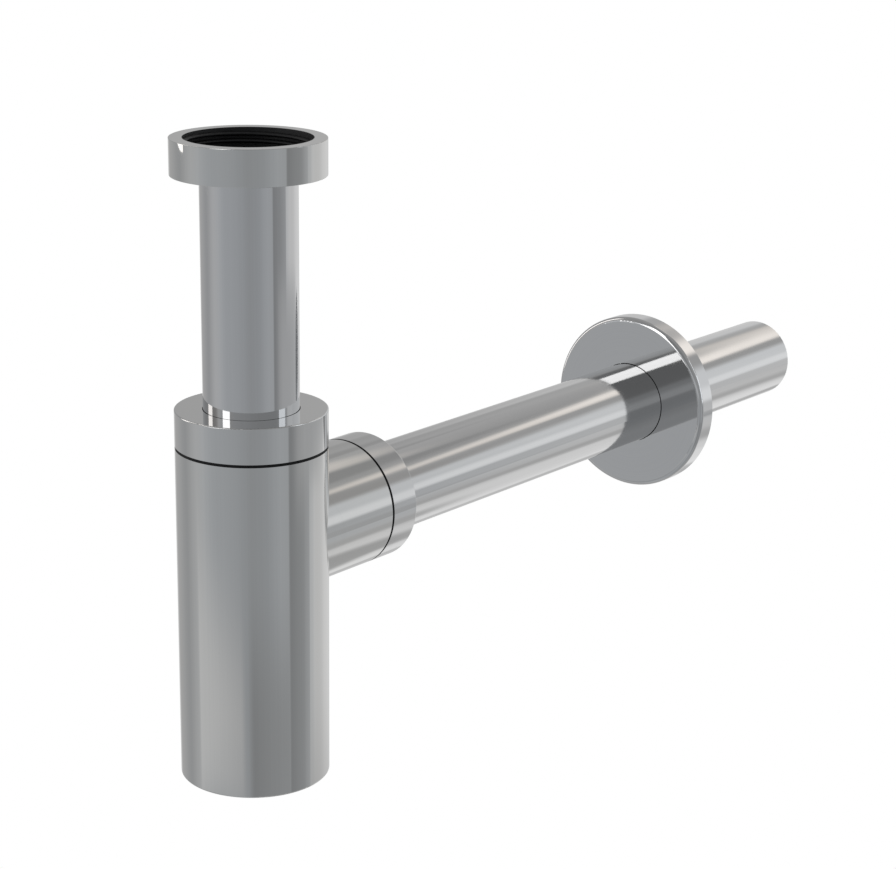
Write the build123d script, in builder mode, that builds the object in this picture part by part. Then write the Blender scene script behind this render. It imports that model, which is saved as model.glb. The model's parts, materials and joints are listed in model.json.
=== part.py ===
from build123d import *
import os

# Basin bottle trap, in millimetres.
# The origin is the centre of the inlet nut's top face.
# Z is the inlet axis, and the outlet runs along +Y to the wall.

# Tubes, both of the 32 mm waste size
tube_diameter = 32.0
tube_wall = 1.0
tube_edge_round = 0.3

# Outside sizes of the turned pieces
column_diameter = 51.0  # cap nut and bottle
branch_diameter = 45.0  # outlet branch and outlet nut
nut_edge_round = 0.4
inlet_nut_edge_round = 0.15

# Heights down the inlet axis
inlet_nut_height = 12.0
inlet_exposed = 77.6  # tube seen between the inlet nut and the cap nut
cap_nut_height = 12.1
edge_ring_thickness = 1.0
bottle_height = 115.9
outlet_drop = 30.9  # from the bottle's shoulder to the outlet axis
water_seal = 50.4  # from the lowest point of the outlet tube's bore opening to the dip end

# Lengths along the outlet, from the inlet axis
branch_reach = 46.2
outlet_nut_length = 12.0
outlet_tube_inner_end = 27.0
outlet_tube_outer_end = 322.0
rosette_face = 222.4

# Clearances, all radial except the axial one
hole_gap = 0.2  # metal holes round a tube
seal_gap = 0.06  # rubber on a tube or in its seat
slip_gap = 0.1  # slip rings on a tube
ring_gap = 0.3  # loose rings inside a nut
thread_gap = 0.1  # between a male crest and a female root
groove_side_gap = 0.1  # axial room of the rosette's ring

# Inlet nut, with the thread of a 1 1/4 inch basin waste (major diameter 41.9)
inlet_thread_diameter = 42.0
inlet_thread_length = 6.0
inlet_thread_crest_diameter = 39.2
inlet_nut_wall = 4.5
inlet_nut_floor = 2.2
gasket_below_thread = 0.2
inlet_gasket_thickness = 1.8
inlet_flange_thickness = 1.0
inlet_flange_round = 0.6
inlet_gasket_bore_gap = 0.3  # gasket bore beyond the tube's bore

# Compression joints of the cap and of the outlet
nut_wall = 2.2  # round the female thread
outlet_nut_wall = 1.9
nut_floor = 2.2
thread_depth = 0.85
slip_ring_thickness = 1.2
neck_rim_wall = 1.0  # least wall left outside the seal's seat
neck_height = 7.5
thread_runout = 1.4  # female thread past the neck's end
seal_band = 1.5
seal_cone_length = 5.0
cap_seal_tip_wall = 1.89
outlet_seal_tip_wall = 0.59
bore_beyond_seal_tip = 0.5

# Bottle
bottle_wall = 1.8
bottle_floor = 2.1
bottle_roof = 2.4
floor_round = 3.0
bottle_edge_round = 0.6
branch_wall = 2.7
branch_guide_start = 38.0
branch_guide_gap = 0.7

# Rosette
rosette_diameter = 70.0
rosette_depth = 8.4
rosette_plate = 1.5
rosette_rim_wall = 1.2
rosette_edge_round = 1.8
rosette_ring_section = 3.0
rosette_lip = 0.9
rosette_collar_wall = 1.4

# Shared radii
tube_radius = tube_diameter / 2
tube_bore = tube_radius - tube_wall
column_radius = column_diameter / 2
branch_radius = branch_diameter / 2
nut_hole = tube_radius + hole_gap

# Shared levels on the inlet axis
inlet_nut_bottom = -inlet_nut_height
cap_top = inlet_nut_bottom - inlet_exposed
cap_bottom = cap_top - cap_nut_height
shoulder = cap_bottom - edge_ring_thickness
bottle_bottom = shoulder - bottle_height
outlet_z = shoulder - outlet_drop
dip_end = outlet_z - tube_bore - water_seal
outlet_axis = Axis((0, 0, outlet_z), (0, 1, 0))
outlet_plane = Plane.XY.offset(outlet_z)  # its x is the radius, its y the distance along the outlet

os.makedirs("parts", exist_ok=True)

# Inlet nut: hangs on the tube's flange and screws up to the basin waste
inlet_thread_radius = inlet_thread_diameter / 2
inlet_nut_radius = inlet_thread_radius + inlet_nut_wall
inlet_recess_radius = inlet_thread_crest_diameter / 2
inlet_nut_seat = inlet_nut_bottom + inlet_nut_floor
with BuildPart() as inlet_nut:
    with BuildSketch(Plane.XZ):
        with BuildLine():
            Polyline(
                (inlet_thread_radius, 0),
                (inlet_nut_radius, 0),
                (inlet_nut_radius, inlet_nut_bottom),
                (nut_hole, inlet_nut_bottom),
                (nut_hole, inlet_nut_seat),
                (inlet_recess_radius, inlet_nut_seat),
                (inlet_recess_radius, -inlet_thread_length),
                (inlet_thread_radius, -inlet_thread_length),
                close=True,
            )
        make_face()
    revolve(axis=Axis.Z)
    outer_rims = inlet_nut.edges().filter_by(GeomType.CIRCLE).group_by(SortBy.RADIUS)[-1]
    fillet(outer_rims, inlet_nut_edge_round)
inlet_nut.part.label = "inlet_nut"
export_step(inlet_nut.part, "parts/inlet_nut.step")

# Gasket: the flat rubber washer on the tube's flange
gasket_top = -inlet_thread_length - gasket_below_thread
flange_top = gasket_top - inlet_gasket_thickness
flange_bottom = flange_top - inlet_flange_thickness
loose_ring_radius = inlet_recess_radius - ring_gap
with BuildPart() as inlet_gasket:
    with BuildSketch(Plane.XY.offset(flange_top)):
        Circle(loose_ring_radius)
        Circle(tube_bore + inlet_gasket_bore_gap, mode=Mode.SUBTRACT)
    extrude(amount=inlet_gasket_thickness)
inlet_gasket.part.label = "inlet_gasket"
export_step(inlet_gasket.part, "parts/inlet_gasket.step")

# Inlet slip ring: the thin hard washer that the nut turns against
with BuildPart() as inlet_slip_ring:
    with BuildSketch(Plane.XY.offset(inlet_nut_seat)):
        Circle(loose_ring_radius)
        Circle(tube_radius + slip_gap, mode=Mode.SUBTRACT)
    extrude(amount=flange_bottom - inlet_nut_seat)
inlet_slip_ring.part.label = "inlet_slip_ring"
export_step(inlet_slip_ring.part, "parts/inlet_slip_ring.step")

# Inlet tube: flanged at the top, its lower end dips below the water level
with BuildPart() as inlet_tube:
    with BuildSketch(Plane.XZ):
        with BuildLine():
            Polyline(
                (tube_bore, flange_top),
                (loose_ring_radius, flange_top),
                (loose_ring_radius, flange_bottom),
                (tube_radius, flange_bottom),
                (tube_radius, dip_end),
                (tube_bore, dip_end),
                close=True,
            )
        make_face()
    revolve(axis=Axis.Z)
    mouth_edge = inlet_tube.edges().filter_by(GeomType.CIRCLE).group_by(Axis.Z)[-1].sort_by(SortBy.RADIUS)[0]
    fillet(mouth_edge, inlet_flange_round)
    dip_edge = inlet_tube.edges().filter_by(GeomType.CIRCLE).group_by(Axis.Z)[0].sort_by(SortBy.RADIUS)[-1]
    fillet(dip_edge, tube_edge_round)
inlet_tube.part.label = "inlet_tube"
export_step(inlet_tube.part, "parts/inlet_tube.step")

# Cap joint: levels from the cap's underside down to the tip of the tapered seal
cap_thread_root = column_radius - nut_wall
neck_root = cap_thread_root - thread_gap - thread_depth
neck_top = shoulder + neck_height
cap_underside = cap_top - nut_floor
cap_seal_top = cap_underside - slip_ring_thickness
cap_cone_top = cap_seal_top - seal_band
cap_cone_bottom = cap_cone_top - seal_cone_length
cap_seal_radius = neck_root - neck_rim_wall
cap_tip_radius = tube_radius + seal_gap + cap_seal_tip_wall
cap_slope = (cap_seal_radius - cap_tip_radius) / seal_cone_length
cap_seat_mouth = cap_seal_radius - cap_slope * (cap_cone_top - neck_top) + seal_gap
neck_bore = cap_tip_radius + bore_beyond_seal_tip
cap_seat_end = neck_top - (cap_seat_mouth - neck_bore) / cap_slope
cap_recess_radius = cap_seal_radius + ring_gap

# Cap nut: closes the bottle and squeezes the seal on the inlet tube
with BuildPart() as cap_nut:
    with BuildSketch(Plane.XZ):
        with BuildLine():
            Polyline(
                (nut_hole, cap_top),
                (column_radius, cap_top),
                (column_radius, cap_bottom),
                (cap_thread_root, cap_bottom),
                (cap_thread_root, neck_top + thread_runout),
                (cap_recess_radius, neck_top + thread_runout),
                (cap_recess_radius, cap_underside),
                (nut_hole, cap_underside),
                close=True,
            )
        make_face()
    revolve(axis=Axis.Z)
    outer_rims = cap_nut.edges().filter_by(GeomType.CIRCLE).group_by(SortBy.RADIUS)[-1]
    fillet(outer_rims.sort_by(Axis.Z)[-1], nut_edge_round)
cap_nut.part.label = "cap_nut"
export_step(cap_nut.part, "parts/cap_nut.step")

# Cap slip ring: lets the cap turn without dragging the seal
with BuildPart() as cap_slip_ring:
    with BuildSketch(Plane.XY.offset(cap_seal_top)):
        Circle(cap_seal_radius)
        Circle(tube_radius + slip_gap, mode=Mode.SUBTRACT)
    extrude(amount=slip_ring_thickness)
cap_slip_ring.part.label = "cap_slip_ring"
export_step(cap_slip_ring.part, "parts/cap_slip_ring.step")

# Cap tube seal: a tapered rubber ring between the tube and the neck's seat
with BuildPart() as cap_tube_seal:
    with BuildSketch(Plane.XZ):
        with BuildLine():
            Polyline(
                (tube_radius + seal_gap, cap_seal_top),
                (cap_seal_radius, cap_seal_top),
                (cap_seal_radius, cap_cone_top),
                (cap_tip_radius, cap_cone_bottom),
                (tube_radius + seal_gap, cap_cone_bottom),
                close=True,
            )
        make_face()
    revolve(axis=Axis.Z)
cap_tube_seal.part.label = "cap_tube_seal"
export_step(cap_tube_seal.part, "parts/cap_tube_seal.step")

# Cap edge ring: the black line between the cap and the bottle
with BuildPart() as cap_edge_ring:
    with BuildSketch(Plane.XY.offset(shoulder)):
        Circle(column_radius - ring_gap)
        Circle(neck_root + ring_gap, mode=Mode.SUBTRACT)
    extrude(amount=edge_ring_thickness)
cap_edge_ring.part.label = "cap_edge_ring"
export_step(cap_edge_ring.part, "parts/cap_edge_ring.step")

# Outlet joint: the same stack, laid along the outlet axis
outlet_nut_start = branch_reach + edge_ring_thickness
outlet_nut_end = outlet_nut_start + outlet_nut_length
outlet_thread_root = branch_radius - outlet_nut_wall
spout_root = outlet_thread_root - thread_gap - thread_depth
spout_end = branch_reach + neck_height
outlet_underside = outlet_nut_end - nut_floor
outlet_seal_end = outlet_underside - slip_ring_thickness
outlet_cone_end = outlet_seal_end - seal_band
outlet_cone_start = outlet_cone_end - seal_cone_length
outlet_seal_radius = spout_root - neck_rim_wall
outlet_tip_radius = tube_radius + seal_gap + outlet_seal_tip_wall
outlet_slope = (outlet_seal_radius - outlet_tip_radius) / seal_cone_length
outlet_seat_mouth = outlet_seal_radius - outlet_slope * (outlet_cone_end - spout_end) + seal_gap
branch_guide = tube_radius + branch_guide_gap
outlet_seat_end = spout_end - (outlet_seat_mouth - branch_guide) / outlet_slope
outlet_recess_radius = outlet_seal_radius + ring_gap

# Bottle body: chamber, threaded neck and side branch in one casting
chamber_radius = column_radius - bottle_wall
chamber_floor = bottle_bottom + bottle_floor
chamber_roof = shoulder - bottle_roof
branch_core = branch_radius - branch_wall
with BuildPart() as bottle_body:
    with BuildSketch(Plane.XZ):
        with BuildLine():
            Polyline(
                (0, bottle_bottom),
                (column_radius, bottle_bottom),
                (column_radius, shoulder),
                (neck_root, shoulder),
                (neck_root, neck_top),
                (0, neck_top),
                close=True,
            )
        make_face()
    revolve(axis=Axis.Z)
    bottom_rim = bottle_body.edges().filter_by(GeomType.CIRCLE).sort_by(Axis.Z)[0]
    fillet(bottom_rim, bottle_edge_round)
    with BuildSketch(outlet_plane):
        with BuildLine():
            Polyline(
                (0, 0),
                (branch_radius, 0),
                (branch_radius, branch_reach),
                (spout_root, branch_reach),
                (spout_root, spout_end),
                (0, spout_end),
                close=True,
            )
        make_face()
    revolve(axis=outlet_axis)
    with BuildSketch(Plane.XZ):
        with BuildLine():
            Polyline(
                (0, chamber_floor),
                (chamber_radius, chamber_floor),
                (chamber_radius, chamber_roof),
                (neck_bore, chamber_roof),
                (neck_bore, cap_seat_end),
                (cap_seat_mouth, neck_top),
                (0, neck_top),
                close=True,
            )
        make_face()
    revolve(axis=Axis.Z, mode=Mode.SUBTRACT)
    floor_rim = bottle_body.edges(Select.LAST).filter_by(GeomType.CIRCLE).sort_by(Axis.Z)[0]
    fillet(floor_rim, floor_round)
    with BuildSketch(outlet_plane):
        with BuildLine():
            Polyline(
                (0, 0),
                (branch_core, 0),
                (branch_core, branch_guide_start),
                (branch_guide, branch_guide_start),
                (branch_guide, outlet_seat_end),
                (outlet_seat_mouth, spout_end),
                (0, spout_end),
                close=True,
            )
        make_face()
    revolve(axis=outlet_axis, mode=Mode.SUBTRACT)
bottle_body.part.label = "bottle_body"
export_step(bottle_body.part, "parts/bottle_body.step")

# Outlet nut: squeezes the seal on the outlet tube
with BuildPart() as outlet_nut:
    with BuildSketch(outlet_plane):
        with BuildLine():
            Polyline(
                (nut_hole, outlet_nut_end),
                (branch_radius, outlet_nut_end),
                (branch_radius, outlet_nut_start),
                (outlet_thread_root, outlet_nut_start),
                (outlet_thread_root, spout_end + thread_runout),
                (outlet_recess_radius, spout_end + thread_runout),
                (outlet_recess_radius, outlet_underside),
                (nut_hole, outlet_underside),
                close=True,
            )
        make_face()
    revolve(axis=outlet_axis)
    outer_rims = outlet_nut.edges().filter_by(GeomType.CIRCLE).group_by(SortBy.RADIUS)[-1]
    fillet(outer_rims.sort_by(Axis.Y)[-1], nut_edge_round)
outlet_nut.part.label = "outlet_nut"
export_step(outlet_nut.part, "parts/outlet_nut.step")

# Outlet slip ring
with BuildPart() as outlet_slip_ring:
    with BuildSketch(outlet_plane):
        with BuildLine():
            Polyline(
                (tube_radius + slip_gap, outlet_seal_end),
                (outlet_seal_radius, outlet_seal_end),
                (outlet_seal_radius, outlet_underside),
                (tube_radius + slip_gap, outlet_underside),
                close=True,
            )
        make_face()
    revolve(axis=outlet_axis)
outlet_slip_ring.part.label = "outlet_slip_ring"
export_step(outlet_slip_ring.part, "parts/outlet_slip_ring.step")

# Outlet tube seal: tapered like the cap's
with BuildPart() as outlet_tube_seal:
    with BuildSketch(outlet_plane):
        with BuildLine():
            Polyline(
                (tube_radius + seal_gap, outlet_seal_end),
                (outlet_seal_radius, outlet_seal_end),
                (outlet_seal_radius, outlet_cone_end),
                (outlet_tip_radius, outlet_cone_start),
                (tube_radius + seal_gap, outlet_cone_start),
                close=True,
            )
        make_face()
    revolve(axis=outlet_axis)
outlet_tube_seal.part.label = "outlet_tube_seal"
export_step(outlet_tube_seal.part, "parts/outlet_tube_seal.step")

# Outlet edge ring: the black line between the branch and the outlet nut
with BuildPart() as outlet_edge_ring:
    with BuildSketch(outlet_plane):
        with BuildLine():
            Polyline(
                (spout_root + ring_gap, branch_reach),
                (branch_radius - ring_gap, branch_reach),
                (branch_radius - ring_gap, outlet_nut_start),
                (spout_root + ring_gap, outlet_nut_start),
                close=True,
            )
        make_face()
    revolve(axis=outlet_axis)
outlet_edge_ring.part.label = "outlet_edge_ring"
export_step(outlet_edge_ring.part, "parts/outlet_edge_ring.step")

# Outlet tube: slides in the branch and carries on through the wall
with BuildPart() as outlet_tube:
    with BuildSketch(outlet_plane):
        with BuildLine():
            Polyline(
                (tube_bore, outlet_tube_inner_end),
                (tube_radius, outlet_tube_inner_end),
                (tube_radius, outlet_tube_outer_end),
                (tube_bore, outlet_tube_outer_end),
                close=True,
            )
        make_face()
    revolve(axis=outlet_axis)
    outer_rims = outlet_tube.edges().filter_by(GeomType.CIRCLE).group_by(SortBy.RADIUS)[-1]
    fillet(outer_rims, tube_edge_round)
outlet_tube.part.label = "outlet_tube"
export_step(outlet_tube.part, "parts/outlet_tube.step")

# Rosette: a turned cup that hides the hole in the wall, grooved inside for its grip ring
rosette_radius = rosette_diameter / 2
rosette_back = rosette_face + rosette_depth
plate_back = rosette_face + rosette_plate
groove_front = rosette_face + rosette_lip + rosette_plate / 2
groove_back = groove_front + rosette_ring_section + 2 * groove_side_gap
collar_end = groove_back + rosette_lip
groove_radius = tube_radius + 2 * seal_gap + rosette_ring_section
collar_radius = groove_radius + rosette_collar_wall
with BuildPart() as rosette:
    with BuildSketch(outlet_plane):
        with BuildLine():
            Polyline(
                (nut_hole, rosette_face),
                (rosette_radius, rosette_face),
                (rosette_radius, rosette_back),
                (rosette_radius - rosette_rim_wall, rosette_back),
                (rosette_radius - rosette_rim_wall, plate_back),
                (collar_radius, plate_back),
                (collar_radius, collar_end),
                (nut_hole, collar_end),
                (nut_hole, groove_back),
                (groove_radius, groove_back),
                (groove_radius, groove_front),
                (nut_hole, groove_front),
                close=True,
            )
        make_face()
    revolve(axis=outlet_axis)
    front_rim = rosette.edges().filter_by(GeomType.CIRCLE).group_by(SortBy.RADIUS)[-1].sort_by(Axis.Y)[0]
    fillet(front_rim, rosette_edge_round)
rosette.part.label = "rosette"
export_step(rosette.part, "parts/rosette.step")

# Rosette ring: the round rubber ring that grips the tube
ring_section_radius = rosette_ring_section / 2
with BuildPart() as rosette_ring:
    with BuildSketch(outlet_plane):
        with Locations((tube_radius + seal_gap + ring_section_radius, (groove_front + groove_back) / 2)):
            Circle(ring_section_radius)
    revolve(axis=outlet_axis)
rosette_ring.part.label = "rosette_ring"
export_step(rosette_ring.part, "parts/rosette_ring.step")
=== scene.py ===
import json
import math

import bmesh
import bpy
from mathutils import Matrix, Vector


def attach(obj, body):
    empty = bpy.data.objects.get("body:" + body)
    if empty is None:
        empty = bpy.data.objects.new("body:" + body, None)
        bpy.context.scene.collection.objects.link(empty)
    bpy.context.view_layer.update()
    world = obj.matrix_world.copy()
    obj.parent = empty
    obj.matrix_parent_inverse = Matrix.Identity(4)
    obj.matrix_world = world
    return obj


# The photograph's frame and the camera that was fitted to it, in metres and radians
imageSize = (896, 869)
cameraValues = {
    "place": (0.504984, -0.530839, 0.114483),
    "yaw": -0.671253,  # turn from +Y towards +X
    "pitch": -0.294635,
    "roll": 0.014111,
    "focalPixels": 2296.256,
    "centreRight": 0.5,  # how far the optical centre lies from the picture's centre, in pixels
    "centreDown": 26.45,
    "sensorWidth": 36.0,
    "farthest": 50.0,
}

# The studio round the trap. Directions are compass angles from +Y towards +X, heights are above the horizon
# Each wall belt is a list of (compass angle, brightness, warmth), cool where the warmth is below zero
lowWalls = [
    (-180, 0.485, -0.08), (-165, 0.50, -0.08), (-153, 0.54, -0.07), (-143, 0.58, -0.05),
    (-133, 0.58, -0.03), (-123, 0.535, -0.03), (-115, 0.48, -0.03), (-106, 0.44, -0.04),
    (-99, 0.45, -0.03), (-87, 0.485, -0.02), (-78, 0.49, 0.0), (-70, 0.48, 0.0), (-64, 0.55, 0.0),
    (-57, 0.68, 0.0), (-50, 0.73, 0.0), (-42, 0.66, 0.0), (-34, 0.65, 0.0), (-26, 0.73, 0.0),
    (-17, 0.81, 0.0), (-9, 0.84, 0.0), (0, 0.84, 0.0), (8, 0.80, 0.0), (15, 0.76, 0.0), (24, 0.75, 0.0),
    (30, 0.755, -0.01), (36, 0.67, -0.03), (41, 0.595, -0.05), (46, 0.51, -0.05), (51, 0.43, -0.05),
    (57, 0.38, -0.05), (66, 0.355, -0.05), (79, 0.32, -0.05), (82, 0.49, -0.07), (93, 0.50, -0.075),
    (104, 0.47, -0.08), (114, 0.43, -0.08), (126, 0.41, -0.075), (138, 0.405, -0.07), (150, 0.435, -0.08),
    (165, 0.465, -0.08), (180, 0.485, -0.08),
]
highWalls = [
    (-180, 0.50, -0.03), (-152, 0.61, -0.03), (-141, 0.69, 0.0), (-133, 0.46, 0.04), (-125, 0.38, 0.04),
    (-100, 0.42, 0.0), (-90, 0.40, -0.03), (-77, 0.42, -0.04), (-63, 0.45, -0.04), (-50, 0.475, 0.0),
    (-44, 0.485, 0.0), (-41, 0.52, 0.0), (-38, 0.60, 0.0), (-34, 0.71, 0.0), (-28, 0.78, -0.02),
    (-20, 0.82, -0.04), (-10, 0.86, -0.05), (8, 0.86, -0.05), (20, 0.84, -0.05), (27, 0.89, -0.05),
    (34, 0.89, -0.04), (40, 0.80, -0.04), (45, 0.74, -0.05), (51, 0.60, -0.06), (60, 0.50, -0.06),
    (72, 0.43, -0.06), (79, 0.40, -0.06), (115, 0.40, -0.05), (150, 0.45, -0.06), (180, 0.50, -0.05),
]
ceiling = [
    (-180, 0.32, -0.03), (-150, 0.34, 0.0), (-120, 0.38, 0.0), (-60, 0.42, 0.0), (-40, 0.45, 0.0),
    (-32, 0.50, 0.0), (-24, 0.55, 0.0), (-8, 0.50, 0.0), (10, 0.47, 0.0), (22, 0.48, 0.0),
    (32, 0.49, 0.0), (38, 0.43, 0.02), (60, 0.40, 0.0), (120, 0.38, -0.03), (150, 0.31, -0.04),
    (180, 0.32, -0.03),
]

# Panels painted over the walls in this order. The glow runs evenly from the left edge to the right one
# Soft gives the width of each edge: left, right, bottom, top. Tilt raises the lower and upper edges per
# degree, and bow bends them down towards the panel's ends. Warm tints the panel, cool below zero
panels = {
    "floor glow": {
        "compass": (153, 229), "height": (-25.5, -21.2), "soft": (10, 5, 1.8, 5), "tilt": (0, 0.035),
        "glow": (0.57, 0.66, 0.71), "warm": -0.01,
    },
    "low dark flat": {
        "compass": (81, 142), "height": (-48, -22), "soft": (2, 12, 8, 4), "glow": (0.395, 0.36, 0.31),
        "warm": -0.05,
    },
    "table board": {
        "compass": (3, 69), "height": (-17.5, -12.8), "soft": (6, 14, 1.4, 1.2), "tilt": (-0.02, 0),
        "glow": (0.57, 0.53, 0.51, 0.51, 0.44), "warm": -0.03,
    },
    "floor": {
        "compass": (-38, 40), "height": (-91, -24.8), "soft": (8, 10, 1, 6), "glow": (0.62, 0.61, 0.54),
    },
    "floor shade": {
        "compass": (-26, -10), "height": (-31.5, -26), "soft": (6, 8, 3, 3), "glow": (0.52,),
    },
    "low floor": {
        "compass": (-60, 44), "height": (-91, -41.2), "soft": (4, 4, 1, 2), "glow": (0.50,),
    },
    "left pool": {
        "compass": (-27, -4), "height": (-44.1, -35.3), "soft": (5, 7, 1.8, 4.5), "tilt": (0, 0.36),
        "glow": (0.92, 0.98),
    },
    "right pool": {
        "compass": (-8, 34), "height": (-40.8, -30.6), "soft": (8, 4, 2.4, 4.5), "tilt": (0.13, -0.07),
        "glow": (0.93, 0.92, 0.92, 0.81),
    },
    "pool rim": {
        "compass": (-9, 9), "height": (-36.4, -32.4), "soft": (6, 6, 2.5, 3), "glow": (1.02, 1.0),
    },
    "horizon glow": {
        "compass": (20, 50), "height": (-4.4, 5.4), "soft": (10, 8, 5.0, 6.5), "glow": (1.10, 1.06, 0.90),
        "warm": -0.03,
    },
    "right dark band": {
        "compass": (34, 62), "height": (18.0, 26), "soft": (9, 8, 7.5, 6), "glow": (0.43,), "warm": 0.02,
    },
    "upper left shade": {
        "compass": (-62, -21), "height": (34.2, 90), "soft": (6, 5, 3.4, 3), "glow": (0.43,),
    },
    "upper right shade": {
        "compass": (6, 62), "height": (38.6, 70), "soft": (5, 8, 2.6, 6), "glow": (0.38,),
    },
    "warm strip": {
        "compass": (-18, 37), "height": (28.4, 34.7), "soft": (12, 5, 3.2, 3.2), "tilt": (0.05, 0.02),
        "bow": (0, 2.6), "glow": (0.76, 1.0, 1.21, 1.30, 1.0, 0.73), "warm": 0.11,
    },
    "ceiling strip": {
        "compass": (-21, 4), "height": (42.5, 60), "soft": (6, 9, 3.2, 4), "glow": (0.96, 0.76),
        "warm": 0.10,
    },
    "rear horizon": {
        "compass": (134, 226), "height": (-1.6, 11.6), "soft": (8, 8, 4, 9), "tilt": (0, 0.045),
        "glow": (0.62, 0.57, 0.60, 0.70), "warm": -0.06,
    },
    "rear dark ceiling": {
        "compass": (132, 214), "height": (19.6, 60), "soft": (14, 8, 9, 10),
        "glow": (0.31, 0.28, 0.27, 0.33), "warm": -0.04,
    },
    "rear floor": {
        "compass": (148, 222), "height": (-50, -26.5), "soft": (10, 6, 4, 2.5),
        "glow": (0.47, 0.53, 0.49, 0.45, 0.44), "warm": -0.06,
    },
}

studioValues = {
    "radius": 20.0,
    "columns": 480,
    "rows": 180,
    "lowToHigh": (-6.0, -1.5),  # heights between which the belts melt into each other
    "highToCeiling": (16.5, 23.8),
    "softboxDistance": 18.0,
}

# Softboxes, which show in the chrome. Each corner is a compass angle and a height
softboxes = [
    {"name": "key", "corners": ((-168.4, 0), (-148.6, 0), (-161.4, 48), (-178.9, 48)), "glow": 2.50,
     "warm": 0.0},
    {"name": "warm side", "corners": ((-115.9, -9.25), (-101.5, -9.0), (-100.9, 42), (-119.7, 42)),
     "glow": 1.95, "warm": 0.06},
    {"name": "cool side", "corners": ((53.3, -4), (69.2, -4), (66.2, 42), (49.2, 42)), "glow": 1.36,
     "warm": -0.085},
]


def makeCamera(values):
    yaw, pitch, roll = values["yaw"], values["pitch"], values["roll"]
    forward = Vector((math.sin(yaw) * math.cos(pitch), math.cos(yaw) * math.cos(pitch), math.sin(pitch)))
    level = Vector((math.cos(yaw), -math.sin(yaw), 0.0))
    up = level.cross(forward)
    right = math.cos(roll) * level + math.sin(roll) * up
    up = math.cos(roll) * up - math.sin(roll) * level
    data = bpy.data.cameras.new("photoCamera")
    data.sensor_width = values["sensorWidth"]
    data.lens = values["focalPixels"] * values["sensorWidth"] / imageSize[0]
    data.shift_x = -values["centreRight"] / imageSize[0]
    data.shift_y = values["centreDown"] / imageSize[0]
    data.clip_end = values["farthest"]
    camera = bpy.data.objects.new("photoCamera", data)
    camera.matrix_world = Matrix((
        (right.x, up.x, -forward.x, values["place"][0]),
        (right.y, up.y, -forward.y, values["place"][1]),
        (right.z, up.z, -forward.z, values["place"][2]),
        (0.0, 0.0, 0.0, 1.0),
    ))
    bpy.context.collection.objects.link(camera)
    bpy.context.scene.camera = camera


def tinted(brightness, warm):
    red = brightness * (1 + warm / 2)
    blue = brightness * (1 - warm / 2)
    return (red, brightness, blue)


def softStep(distance, width):
    share = min(max(distance / width + 0.5, 0.0), 1.0)
    return share * share * (3 - 2 * share)


def alongStops(stops, angle):
    # Smooth between the stops, without ever passing beyond them
    pairs = list(zip(stops, stops[1:]))
    spans = [(later[0] - earlier[0], later) for earlier, later in pairs]
    place = next((index for index, (_, later) in enumerate(spans) if angle <= later[0]), len(spans) - 1)
    values = []
    for item in range(1, len(stops[0])):
        slopes = [(later[item] - earlier[item]) / (later[0] - earlier[0]) for earlier, later in pairs]
        before, here, after = slopes[place - 1], slopes[place], slopes[(place + 1) % len(slopes)]
        start = 2 * before * here / (before + here) if before * here > 0 else 0.0
        end = 2 * here * after / (here + after) if here * after > 0 else 0.0
        width = spans[place][0]
        share = (angle - stops[place][0]) / width
        first, last = stops[place][item], stops[place + 1][item]
        values.append(
            first * (1 + 2 * share) * (1 - share) ** 2 + last * share * share * (3 - 2 * share)
            + width * (start * share * (1 - share) ** 2 - end * share * share * (1 - share))
        )
    return values


def panelCover(panel, compass, height):
    left, right = panel["compass"]
    bottom, top = panel["height"]
    softLeft, softRight, softBottom, softTop = panel["soft"]
    tiltBottom, tiltTop = panel.get("tilt", (0, 0))
    bowBottom, bowTop = panel.get("bow", (0, 0))
    angle = compass if compass >= left - softLeft else compass + 360
    offMiddle = min(max(angle, left), right) - (left + right) / 2
    bend = (2 * offMiddle / (right - left)) ** 2
    cover = softStep(height - bottom - tiltBottom * offMiddle + bowBottom * bend, softBottom)
    cover *= softStep(top + tiltTop * offMiddle - bowTop * bend - height, softTop)
    if cover > 0:
        cover *= softStep(angle - left, softLeft) * softStep(right - angle, softRight)
    return cover, min(max((angle - left) / (right - left), 0.0), 1.0)


def panelGlow(glow, share):
    if len(glow) == 1:
        return glow[0]
    place = min(int(share * (len(glow) - 1)), len(glow) - 2)
    return glow[place] + (glow[place + 1] - glow[place]) * (share * (len(glow) - 1) - place)


def studioColour(belts, height, compass, values):
    low, high, top = belts
    for joint, upper in ((values["lowToHigh"], high), (values["highToCeiling"], top)):
        rise = softStep(height - (joint[0] + joint[1]) / 2, joint[1] - joint[0])
        low = [one + (other - one) * rise for one, other in zip(low, upper)]
    colour = tinted(low[0], low[1])
    for panel in panels.values():
        cover, share = panelCover(panel, compass, height)
        if cover > 0:
            paint = tinted(panelGlow(panel["glow"], share), panel.get("warm", 0.0))
            colour = tuple(old + (new - old) * cover for old, new in zip(colour, paint))
    return colour


def direction(compass, height):
    turn, rise = math.radians(compass), math.radians(height)
    return Vector((math.sin(turn) * math.cos(rise), math.cos(turn) * math.cos(rise), math.sin(rise)))


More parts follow.
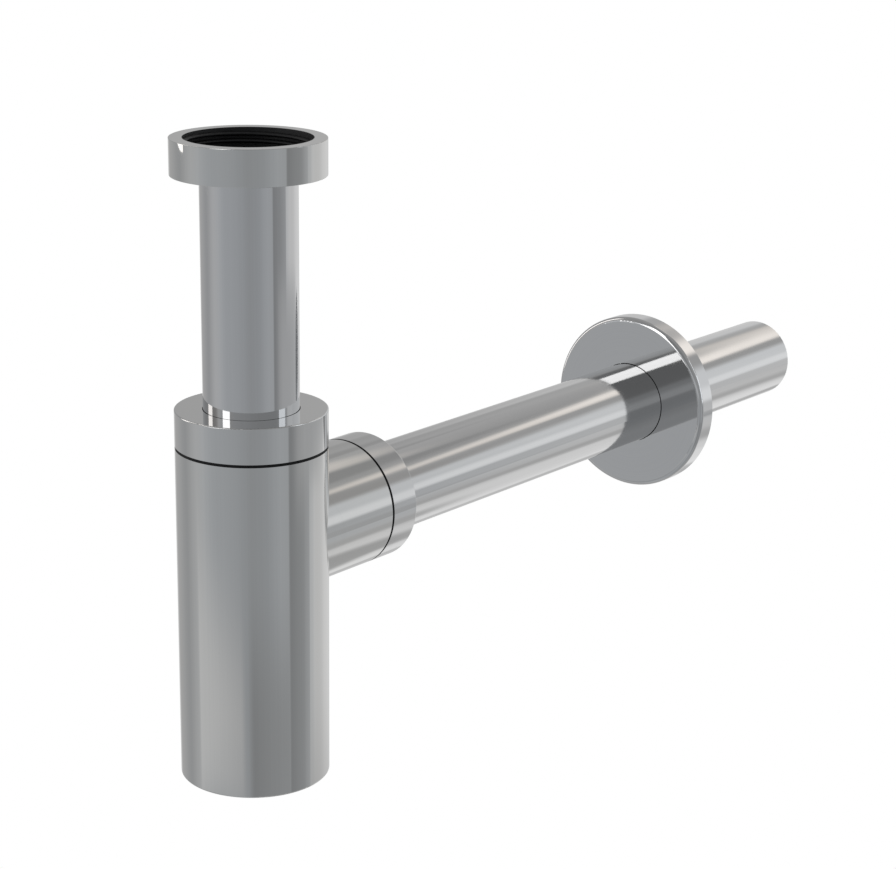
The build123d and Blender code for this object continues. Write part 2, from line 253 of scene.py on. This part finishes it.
def makeStudio(values):
    # A closed room of soft grey walls round the trap, unseen by the camera itself
    columns, rows = values["columns"], values["rows"]
    points, colours, faces = [], [], []
    around = [-180 + 360 * column / columns for column in range(columns)]
    belts = [[alongStops(stops, compass) for stops in (lowWalls, highWalls, ceiling)] for compass in around]
    for row in range(rows + 1):
        height = -90 + 180 * row / rows
        for column, compass in enumerate(around):
            points.append(direction(compass, height) * values["radius"])
            colours.extend((*studioColour(belts[column], height, compass, values), 1.0))
    for row in range(rows):
        for column in range(columns):
            beside = (column + 1) % columns
            corners = (row * columns + column, (row + 1) * columns + column)
            faces.append((*corners, (row + 1) * columns + beside, row * columns + beside))
    mesh = bpy.data.meshes.new("studioWalls")
    mesh.from_pydata(points, [], faces)
    glow = mesh.color_attributes.new("glow", "FLOAT_COLOR", "POINT")
    glow.data.foreach_set("color", colours)
    material = bpy.data.materials.new("studioWalls")
    material.use_nodes = True
    tree = material.node_tree
    tree.nodes.clear()
    attribute = tree.nodes.new("ShaderNodeVertexColor")
    attribute.layer_name = "glow"
    emission = tree.nodes.new("ShaderNodeEmission")
    output = tree.nodes.new("ShaderNodeOutputMaterial")
    tree.links.new(attribute.outputs["Color"], emission.inputs["Color"])
    tree.links.new(emission.outputs[0], output.inputs["Surface"])
    material.cycles.emission_sampling = "NONE"
    mesh.materials.append(material)
    walls = bpy.data.objects.new("studioWalls", mesh)
    bpy.context.collection.objects.link(walls)
    walls.visible_camera = False


def makeSoftboxes(distance):
    # Lit rectangles just inside the walls
    for values in softboxes:
        mesh = bpy.data.meshes.new(values["name"])
        mesh.from_pydata([direction(*corner) * distance for corner in values["corners"]], [], [(0, 1, 2, 3)])
        material = bpy.data.materials.new(values["name"])
        material.use_nodes = True
        tree = material.node_tree
        tree.nodes.clear()
        emission = tree.nodes.new("ShaderNodeEmission")
        emission.inputs["Color"].default_value = (*tinted(1.0, values["warm"]), 1.0)
        emission.inputs["Strength"].default_value = values["glow"]
        output = tree.nodes.new("ShaderNodeOutputMaterial")
        tree.links.new(emission.outputs[0], output.inputs["Surface"])
        mesh.materials.append(material)
        box = bpy.data.objects.new(values["name"], mesh)
        bpy.context.collection.objects.link(box)
        box.visible_camera = False


backgroundValues = {"seen": (1.0, 1.0, 1.0), "light": (0.6, 0.6, 0.6)}


def makeBackground(values):
    # White to the eye and in glass and metal, and a plain grey light on the rest
    world = bpy.data.worlds.new("background")
    bpy.context.scene.world = world
    world.use_nodes = True
    tree = world.node_tree
    tree.nodes.clear()
    path = tree.nodes.new("ShaderNodeLightPath")
    seen = path.outputs["Is Camera Ray"]
    for name in ("Is Glossy Ray", "Is Transmission Ray"):
        either = tree.nodes.new("ShaderNodeMath")
        either.operation = "MAXIMUM"
        tree.links.new(seen, either.inputs[0])
        tree.links.new(path.outputs[name], either.inputs[1])
        seen = either.outputs[0]
    light = tree.nodes.new("ShaderNodeBackground")
    light.inputs["Color"].default_value = (*values["light"], 1.0)
    white = tree.nodes.new("ShaderNodeBackground")
    white.inputs["Color"].default_value = (*values["seen"], 1.0)
    mix = tree.nodes.new("ShaderNodeMixShader")
    output = tree.nodes.new("ShaderNodeOutputWorld")
    tree.links.new(seen, mix.inputs[0])
    tree.links.new(light.outputs[0], mix.inputs[1])
    tree.links.new(white.outputs[0], mix.inputs[2])
    tree.links.new(mix.outputs[0], output.inputs["Surface"])


def newTree(name, inputs, outputs, kind="ShaderNodeTree"):
    tree = bpy.data.node_groups.new(name, kind)
    for label, socketType, value in inputs:
        socket = tree.interface.new_socket(label, in_out="INPUT", socket_type=socketType)
        if value is not None:
            socket.default_value = value
    for label, socketType in outputs:
        tree.interface.new_socket(label, in_out="OUTPUT", socket_type=socketType)
    return tree, tree.nodes.new("NodeGroupInput"), tree.nodes.new("NodeGroupOutput")


def mathNode(tree, operation, *values):
    node = tree.nodes.new("ShaderNodeMath")
    node.operation = operation
    for socket, value in zip(node.inputs, values):
        if isinstance(value, (int, float)):
            socket.default_value = value
        else:
            tree.links.new(value, socket)
    return node.outputs[0]


def makeRoundGroup():
    # Where a point lies on a turned piece whose axis is Z: its radius, and its angle as a share of a turn
    tree, inside, outside = newTree(
        "roundPlace", [("Position", "NodeSocketVector", None)],
        [("Radius", "NodeSocketFloat"), ("Angle", "NodeSocketFloat"), ("Height", "NodeSocketFloat")],
    )
    parts = tree.nodes.new("ShaderNodeSeparateXYZ")
    tree.links.new(inside.outputs["Position"], parts.inputs[0])
    squares = [mathNode(tree, "MULTIPLY", parts.outputs[axis], parts.outputs[axis]) for axis in (0, 1)]
    radius = mathNode(tree, "SQRT", mathNode(tree, "ADD", *squares))
    radians = mathNode(tree, "ARCTAN2", parts.outputs[1], parts.outputs[0])
    angle = mathNode(tree, "MULTIPLY", radians, 1 / math.tau)
    tree.links.new(radius, outside.inputs["Radius"])
    tree.links.new(angle, outside.inputs["Angle"])
    tree.links.new(parts.outputs[2], outside.inputs["Height"])
    return tree


# Fine lines left by polishing: along a drawn tube, or round a turned piece
polishValues = {
    "lineWidth": 0.00035,
    "lineDetail": 2.0,
    "waver": 0.8,  # how far the lines break up along their length
    "smudgeScale": 30.0,
}


def makePolishGroup(roundGroup, values):
    tree, inside, outside = newTree(
        "polishLines",
        [
            ("Position", "NodeSocketVector", None), ("Lines along", "NodeSocketFloat", None),
            ("Line width", "NodeSocketFloat", values["lineWidth"]), ("Radius", "NodeSocketFloat", None),
            ("Depth", "NodeSocketFloat", None),
        ],
        [("Lines", "NodeSocketFloat"), ("Smudges", "NodeSocketFloat"), ("Normal", "NodeSocketVector")],
    )
    place = tree.nodes.new("ShaderNodeGroup")
    place.node_tree = roundGroup
    tree.links.new(inside.outputs["Position"], place.inputs["Position"])
    girth = mathNode(tree, "MULTIPLY", inside.outputs["Radius"], math.tau)
    across = mathNode(tree, "MULTIPLY", place.outputs["Angle"], girth)
    rings = mathNode(tree, "ADD", place.outputs["Height"], place.outputs["Radius"])
    pick = tree.nodes.new("ShaderNodeMix")
    tree.links.new(inside.outputs["Lines along"], pick.inputs["Factor"])
    tree.links.new(rings, pick.inputs[2])
    tree.links.new(across, pick.inputs[3])
    drift = tree.nodes.new("ShaderNodeTexNoise")
    drift.inputs["Scale"].default_value = values["smudgeScale"]
    tree.links.new(inside.outputs["Position"], drift.inputs["Vector"])
    lines = tree.nodes.new("ShaderNodeTexNoise")
    lines.noise_dimensions = "2D"
    lines.inputs["Scale"].default_value = 1.0
    lines.inputs["Detail"].default_value = values["lineDetail"]
    where = tree.nodes.new("ShaderNodeCombineXYZ")
    tree.links.new(mathNode(tree, "DIVIDE", pick.outputs[0], inside.outputs["Line width"]), where.inputs[0])
    tree.links.new(mathNode(tree, "MULTIPLY", drift.outputs["Fac"], values["waver"]), where.inputs[1])
    tree.links.new(where.outputs[0], lines.inputs["Vector"])
    bump = tree.nodes.new("ShaderNodeBump")
    bump.inputs["Strength"].default_value = 1.0
    tree.links.new(lines.outputs["Fac"], bump.inputs["Height"])
    tree.links.new(inside.outputs["Depth"], bump.inputs["Distance"])
    tree.links.new(lines.outputs["Fac"], outside.inputs["Lines"])
    tree.links.new(drift.outputs["Fac"], outside.inputs["Smudges"])
    tree.links.new(bump.outputs["Normal"], outside.inputs["Normal"])
    return tree


# Chrome plating
chromeFinish = {
    "colour": 0.60,
    "streak": 0.022,  # how far the polish lines lighten and darken it
    "smudge": 0.03,  # roughness added where the shine is dullest
    "smudgeSpan": (0.45, 0.75),
    # Near black inside the bores: partly the bare inner metal, partly painted shade for the dark inside
    "bareAndPaintedShadeColour": (0.010, 0.010, 0.011),
    "bareRoughness": 0.55,
}

# Pieces on the outlet axis turn about it, and the bottle's branch does too. Along is 1 where the lines run
# along the piece, depth is theirs, and blue tints the shine. Bore is the radius inside which the plating
# hasn't reached; in there the surface is near black, partly the bare metal and partly painted shade for the
# dark inside. A patch has its own roughness between two radii and two heights along the axis
chromePieces = {
    "inlet_nut": {
        "axis": "column", "along": 1.0, "depth": 0.0000005, "rough": 0.015, "blue": 0.988, "radius": 0.0255,
        "bore": 0.02115,
    },
    "inlet_tube": {
        "axis": "column", "along": 1.0, "depth": 0.0000010, "rough": 0.050, "blue": 1.008, "radius": 0.016,
        "bore": 0.01575,
    },
    "cap_nut": {
        "axis": "column", "along": 1.0, "depth": 0.0000006, "rough": 0.030, "blue": 0.995, "radius": 0.0255,
        "patches": [{"radius": (0.0251, 0.0256), "height": (-0.0901, -0.0895), "rough": 0.13}],
    },
    "bottle_body": {
        "axis": "both", "along": 1.0, "depth": 0.0000015, "rough": 0.060, "blue": 0.990, "radius": 0.0255,
        "branchFrom": 0.0256,
    },
    "outlet_nut": {
        "axis": "outlet", "along": 1.0, "depth": 0.0000040, "rough": 0.090, "blue": 1.000, "radius": 0.0225,
    },
    "outlet_tube": {
        "axis": "outlet", "along": 1.0, "depth": 0.0000040, "rough": 0.085, "blue": 1.000, "radius": 0.016,
        "bore": 0.01575,
    },
    "rosette": {
        "axis": "outlet", "along": 0.0, "depth": 0.0000010, "rough": 0.04, "blue": 1.005, "radius": 0.035,
        "face": 0.535, "faceRadius": 0.0334,
        "patches": [
            {"radius": (0.0, 0.0341), "height": (0.2237, 0.24), "rough": 0.34},  # inside the cup
            {"radius": (0.0332, 0.0352), "height": (0.2200, 0.2245), "rough": 0.11},  # the round of the edge
        ],
    },
}
outletAxisHeight = -0.1336


def makeChrome(name, values, finish, roundGroup, polishGroup):
    material = bpy.data.materials.new(name)
    material.use_nodes = True
    tree = material.node_tree
    shader = tree.nodes["Principled BSDF"]
    position = tree.nodes.new("ShaderNodeTexCoord").outputs["Object"]
    if values["axis"] != "column":
        parts = tree.nodes.new("ShaderNodeSeparateXYZ")
        tree.links.new(position, parts.inputs[0])
        laid = tree.nodes.new("ShaderNodeCombineXYZ")
        tree.links.new(parts.outputs[0], laid.inputs[0])
        tree.links.new(mathNode(tree, "SUBTRACT", parts.outputs[2], outletAxisHeight), laid.inputs[1])
        tree.links.new(parts.outputs[1], laid.inputs[2])
        if values["axis"] == "both":
            branch = mathNode(tree, "GREATER_THAN", parts.outputs[1], values["branchFrom"])
            pick = tree.nodes.new("ShaderNodeMix")
            pick.data_type = "VECTOR"
            tree.links.new(branch, pick.inputs["Factor"])
            tree.links.new(position, pick.inputs[4])
            tree.links.new(laid.outputs[0], pick.inputs[5])
            position = pick.outputs[1]
        else:
            position = laid.outputs[0]
    polish = tree.nodes.new("ShaderNodeGroup")
    polish.node_tree = polishGroup
    polish.inputs["Lines along"].default_value = values["along"]
    polish.inputs["Radius"].default_value = values["radius"]
    polish.inputs["Depth"].default_value = values["depth"]
    tree.links.new(position, polish.inputs["Position"])
    tree.links.new(polish.outputs["Normal"], shader.inputs["Normal"])
    plated = tree.nodes.new("ShaderNodeMix")
    plated.data_type = "RGBA"
    for socket, share in ((6, 1 - finish["streak"]), (7, 1 + finish["streak"])):
        grey = finish["colour"] * share
        plated.inputs[socket].default_value = (grey, grey, grey * values["blue"], 1.0)
    tree.links.new(polish.outputs["Lines"], plated.inputs["Factor"])
    shine = plated.outputs[2]
    place = tree.nodes.new("ShaderNodeGroup")
    place.node_tree = roundGroup
    tree.links.new(position, place.inputs["Position"])
    if "face" in values:
        dull = tree.nodes.new("ShaderNodeMix")
        dull.data_type = "RGBA"
        dull.blend_type = "MULTIPLY"
        share = values["face"] / finish["colour"]
        dull.inputs[7].default_value = (share, share, share, 1.0)
        onFace = mathNode(tree, "LESS_THAN", place.outputs["Radius"], values["faceRadius"])
        tree.links.new(onFace, dull.inputs["Factor"])
        tree.links.new(shine, dull.inputs[6])
        shine = dull.outputs[2]
    spread = tree.nodes.new("ShaderNodeMapRange")
    spread.inputs["From Min"].default_value, spread.inputs["From Max"].default_value = finish["smudgeSpan"]
    spread.inputs["To Min"].default_value = values["rough"]
    spread.inputs["To Max"].default_value = values["rough"] + finish["smudge"]
    tree.links.new(polish.outputs["Smudges"], spread.inputs["Value"])
    shown = spread.outputs[0]
    for patch in values.get("patches", ()):
        masks = []
        for way, (low, high) in (("Radius", patch["radius"]), ("Height", patch["height"])):
            middle, half = (low + high) / 2, (high - low) / 2
            masks.append(mathNode(tree, "COMPARE", place.outputs[way], middle, half))
        patched = tree.nodes.new("ShaderNodeMix")
        tree.links.new(mathNode(tree, "MULTIPLY", *masks), patched.inputs["Factor"])
        tree.links.new(shown, patched.inputs[2])
        patched.inputs[3].default_value = patch["rough"]
        shown = patched.outputs[0]
    if "bore" not in values:
        shader.inputs["Metallic"].default_value = 1.0
        tree.links.new(shine, shader.inputs["Base Color"])
        tree.links.new(shown, shader.inputs["Roughness"])
        return material
    # Inside the bore radius the chrome gives way to the near-black colour, painted shade as well as bare
    # metal
    outsideShadedBore = mathNode(tree, "GREATER_THAN", place.outputs["Radius"], values["bore"])
    tree.links.new(outsideShadedBore, shader.inputs["Metallic"])
    boreShadeMix = tree.nodes.new("ShaderNodeMix")
    boreShadeMix.data_type = "RGBA"
    boreShadeMix.inputs[6].default_value = (*finish["bareAndPaintedShadeColour"], 1.0)
    tree.links.new(outsideShadedBore, boreShadeMix.inputs["Factor"])
    tree.links.new(shine, boreShadeMix.inputs[7])
    tree.links.new(boreShadeMix.outputs[2], shader.inputs["Base Color"])
    rough = tree.nodes.new("ShaderNodeMix")
    rough.inputs[2].default_value = finish["bareRoughness"]
    tree.links.new(outsideShadedBore, rough.inputs["Factor"])
    tree.links.new(shown, rough.inputs[3])
    tree.links.new(rough.outputs[0], shader.inputs["Roughness"])
    return material


# Soft and hard hidden rings, and the bare thread inside the inlet nut, painted near black as shade inside
# the nut
plainFinishes = {
    "rubber": {
        "dark": (0.004, 0.004, 0.0045), "light": (0.010, 0.010, 0.011), "rough": (0.5, 0.7), "shine": 0.2,
        "grain": 900.0,
    },
    "slip_plastic": {
        "dark": (0.70, 0.70, 0.66), "light": (0.82, 0.82, 0.79), "rough": (0.35, 0.5), "shine": 0.5,
        "grain": 300.0,
    },
    # Near black: partly the bare metal, partly painted shade deep inside the nut
    "bareThreadPaintedShade": {
        "dark": (0.007, 0.007, 0.008), "light": (0.016, 0.016, 0.017), "rough": (0.45, 0.65),
        "shine": 0.3, "grain": 1200.0,
    },
}
grainMaking = {"detail": 4.0, "depth": 0.00002, "strength": 0.5}


def makePlain(name, values, making):
    material = bpy.data.materials.new(name)
    material.use_nodes = True
    tree = material.node_tree
    shader = tree.nodes["Principled BSDF"]
    position = tree.nodes.new("ShaderNodeTexCoord").outputs["Object"]
    grain = tree.nodes.new("ShaderNodeTexNoise")
    grain.inputs["Scale"].default_value = values["grain"]
    grain.inputs["Detail"].default_value = making["detail"]
    tree.links.new(position, grain.inputs["Vector"])
    shade = tree.nodes.new("ShaderNodeMix")
    shade.data_type = "RGBA"
    shade.inputs[6].default_value = (*values["dark"], 1.0)
    shade.inputs[7].default_value = (*values["light"], 1.0)
    tree.links.new(grain.outputs["Fac"], shade.inputs["Factor"])
    tree.links.new(shade.outputs[2], shader.inputs["Base Color"])
    spread = tree.nodes.new("ShaderNodeMapRange")
    spread.inputs["To Min"].default_value, spread.inputs["To Max"].default_value = values["rough"]
    tree.links.new(grain.outputs["Fac"], spread.inputs["Value"])
    tree.links.new(spread.outputs[0], shader.inputs["Roughness"])
    shader.inputs["Specular IOR Level"].default_value = values["shine"]
    bump = tree.nodes.new("ShaderNodeBump")
    bump.inputs["Distance"].default_value = making["depth"]
    bump.inputs["Strength"].default_value = making["strength"]
    tree.links.new(grain.outputs["Fac"], bump.inputs["Height"])
    tree.links.new(bump.outputs["Normal"], shader.inputs["Normal"])
    return material


# Threads: right-handed ridges, in metres. Start is the distance along the axis, and half a turn of offset
# lets a nut's ridge run between the turns of the ridge it screws on
threads = [
    {"name": "inletNutThread", "body": "inlet_union", "axis": "column", "root": 0.0210, "depth": -0.0014,
     "pitch": 0.002309, "turns": 1.9, "start": -0.0053, "offset": 0.0, "base": 0.0016, "tip": 0.0005,
     "finish": "bareThreadPaintedShade"},
    {"name": "neckThread", "body": "bottle", "axis": "column", "root": 0.02235, "depth": 0.00085,
     "pitch": 0.002, "turns": 2.4, "start": -0.1009, "offset": 0.0, "base": 0.0012, "tip": 0.0005,
     "finish": "cap_nut"},
    {"name": "capThread", "body": "cap", "axis": "column", "root": 0.0233, "depth": -0.00085,
     "pitch": 0.002, "turns": 3.0, "start": -0.1009, "offset": 180.0, "base": 0.0012, "tip": 0.0005,
     "finish": "cap_nut"},
    {"name": "branchThread", "body": "bottle", "axis": "outlet", "root": 0.01965, "depth": 0.00085,
     "pitch": 0.002, "turns": 2.4, "start": 0.0480, "offset": 0.0, "base": 0.0012, "tip": 0.0005,
     "finish": "outlet_nut"},
    {"name": "outletNutThread", "body": "outlet_union", "axis": "outlet", "root": 0.0206,
     "depth": -0.00085, "pitch": 0.002, "turns": 3.0, "start": 0.0480, "offset": 180.0, "base": 0.0012,
     "tip": 0.0005, "finish": "outlet_nut"},
]
threadMaking = {
    "steps": 72,
    "sunk": 0.00004,  # how far the ridge's foot lies in the wall
    "fade": 0.07,  # share of the length over which each end rises
    "thinnest": 0.02,  # size of the very ends
    "weld": 0.000002,
}


def makeThreadTree(making):
    numbers = ("Root", "Depth", "Pitch", "Turns", "Base", "Tip", "Sunk", "Fade")
    tree, inside, outside = newTree(
        "screwThread",
        [("Geometry", "NodeSocketGeometry", None), ("Steps", "NodeSocketInt", None)]
        + [(name, "NodeSocketFloat", None) for name in numbers] + [("Material", "NodeSocketMaterial", None)],
        [("Geometry", "NodeSocketGeometry")], "GeometryNodeTree",
    )
    sizes = inside.outputs
    spiral = tree.nodes.new("GeometryNodeCurveSpiral")
    spiral.inputs["Reverse"].default_value = True
    tree.links.new(sizes["Steps"], spiral.inputs["Resolution"])
    tree.links.new(sizes["Turns"], spiral.inputs["Rotations"])
    tree.links.new(sizes["Root"], spiral.inputs["Start Radius"])
    tree.links.new(sizes["Root"], spiral.inputs["End Radius"])
    tree.links.new(mathNode(tree, "MULTIPLY", sizes["Pitch"], sizes["Turns"]), spiral.inputs["Height"])
    upright = tree.nodes.new("GeometryNodeSetCurveNormal")
    upright.mode = "Z_UP"
    tree.links.new(spiral.outputs[0], upright.inputs["Curve"])
    section = tree.nodes.new("GeometryNodeCurvePrimitiveQuadrilateral")
    section.mode = "POINTS"
    side = mathNode(tree, "SIGN", sizes["Depth"])
    sunk = mathNode(tree, "MULTIPLY", mathNode(tree, "MULTIPLY", sizes["Sunk"], side), -1.0)
    halfBase = mathNode(tree, "MULTIPLY", mathNode(tree, "MULTIPLY", sizes["Base"], side), 0.5)
    halfTip = mathNode(tree, "MULTIPLY", mathNode(tree, "MULTIPLY", sizes["Tip"], side), 0.5)
    foot, crest = (sunk, halfBase), (sizes["Depth"], halfTip)
    corners = [(*foot, -1.0), (*crest, -1.0), (*crest, 1.0), (*foot, 1.0)]
    for number, (outwards, half, sign) in enumerate(corners, 1):
        corner = tree.nodes.new("ShaderNodeCombineXYZ")
        tree.links.new(outwards, corner.inputs[0])
        tree.links.new(mathNode(tree, "MULTIPLY", half, sign), corner.inputs[1])
        tree.links.new(corner.outputs[0], section.inputs["Point " + str(number)])
    share = tree.nodes.new("GeometryNodeSplineParameter").outputs["Factor"]
    rising = mathNode(tree, "DIVIDE", share, sizes["Fade"])
    falling = mathNode(tree, "DIVIDE", mathNode(tree, "SUBTRACT", 1.0, share), sizes["Fade"])
    size = mathNode(tree, "MINIMUM", mathNode(tree, "MINIMUM", rising, falling), 1.0)
    ridge = tree.nodes.new("GeometryNodeCurveToMesh")
    ridge.inputs["Fill Caps"].default_value = True
    tree.links.new(upright.outputs[0], ridge.inputs["Curve"])
    tree.links.new(section.outputs[0], ridge.inputs["Profile Curve"])
    tree.links.new(mathNode(tree, "MAXIMUM", size, making["thinnest"]), ridge.inputs["Scale"])
    real = tree.nodes.new("GeometryNodeRealizeInstances")
    tree.links.new(ridge.outputs[0], real.inputs[0])
    paint = tree.nodes.new("GeometryNodeSetMaterial")
    tree.links.new(real.outputs[0], paint.inputs["Geometry"])
    tree.links.new(sizes["Material"], paint.inputs["Material"])
    tree.links.new(paint.outputs[0], outside.inputs[0])
    return tree


def makeThread(values, making, threadTree, material):
    seed = bpy.data.objects.new(values["name"], bpy.data.meshes.new(values["name"] + "Seed"))
    bpy.context.collection.objects.link(seed)
    modifier = seed.modifiers.new("thread", "NODES")
    modifier.node_group = threadTree
    wanted = {
        "Steps": making["steps"], "Root": values["root"], "Depth": values["depth"], "Pitch": values["pitch"],
        "Turns": values["turns"], "Base": values["base"], "Tip": values["tip"], "Sunk": making["sunk"],
        "Fade": making["fade"], "Material": material,
    }
    for item in threadTree.interface.items_tree:
        if item.item_type == "SOCKET" and item.in_out == "INPUT" and item.name in wanted:
            modifier[item.identifier] = wanted[item.name]
    ready = seed.evaluated_get(bpy.context.evaluated_depsgraph_get())
    mesh = bpy.data.meshes.new_from_object(ready)
    mesh.name = values["name"]
    seed.modifiers.remove(modifier)
    place = Matrix.Translation((0, 0, values["start"]))
    place = place @ Matrix.Rotation(math.radians(values["offset"]), 4, "Z")
    if values["axis"] == "outlet":
        laid = Matrix.Rotation(math.radians(-90), 4, "X")
        place = Matrix.Translation((0, 0, outletAxisHeight)) @ laid @ place
    mesh.transform(place)
    solid = bmesh.new()
    solid.from_mesh(mesh)
    bmesh.ops.remove_doubles(solid, verts=solid.verts, dist=making["weld"])
    bmesh.ops.recalc_face_normals(solid, faces=solid.faces)
    solid.to_mesh(mesh)
    solid.free()
    seed.data = mesh
    mesh.materials.clear()
    mesh.materials.append(material)
    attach(seed, values["body"])


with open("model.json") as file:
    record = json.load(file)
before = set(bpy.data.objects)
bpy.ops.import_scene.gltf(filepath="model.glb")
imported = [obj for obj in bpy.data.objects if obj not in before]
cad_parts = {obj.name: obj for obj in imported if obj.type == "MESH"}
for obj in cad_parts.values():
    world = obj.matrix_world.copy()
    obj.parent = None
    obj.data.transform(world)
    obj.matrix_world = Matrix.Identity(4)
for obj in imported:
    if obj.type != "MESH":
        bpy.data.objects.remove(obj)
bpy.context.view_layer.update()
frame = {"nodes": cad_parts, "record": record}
print("frame loaded")
bpy.context.scene.view_settings.view_transform = "Standard"
makeCamera(cameraValues)
makeBackground(backgroundValues)
makeStudio(studioValues)
makeSoftboxes(studioValues["softboxDistance"])
print("camera and studio ready")

roundGroup = makeRoundGroup()
polishGroup = makePolishGroup(roundGroup, polishValues)
materials = {name: makePlain(name, values, grainMaking) for name, values in plainFinishes.items()}
for name, values in chromePieces.items():
    materials[name] = makeChrome(name + "Chrome", values, chromeFinish, roundGroup, polishGroup)
for entry in frame["record"]["subparts"]:
    piece = frame["nodes"][entry["node"]]
    piece.data.materials.clear()
    piece.data.materials.append(materials.get(entry["node"], materials.get(entry["material_slot"])))
print("materials ready")

threadTree = makeThreadTree(threadMaking)
for values in threads:
    makeThread(values, threadMaking, threadTree, materials[values["finish"]])
print("threads ready")
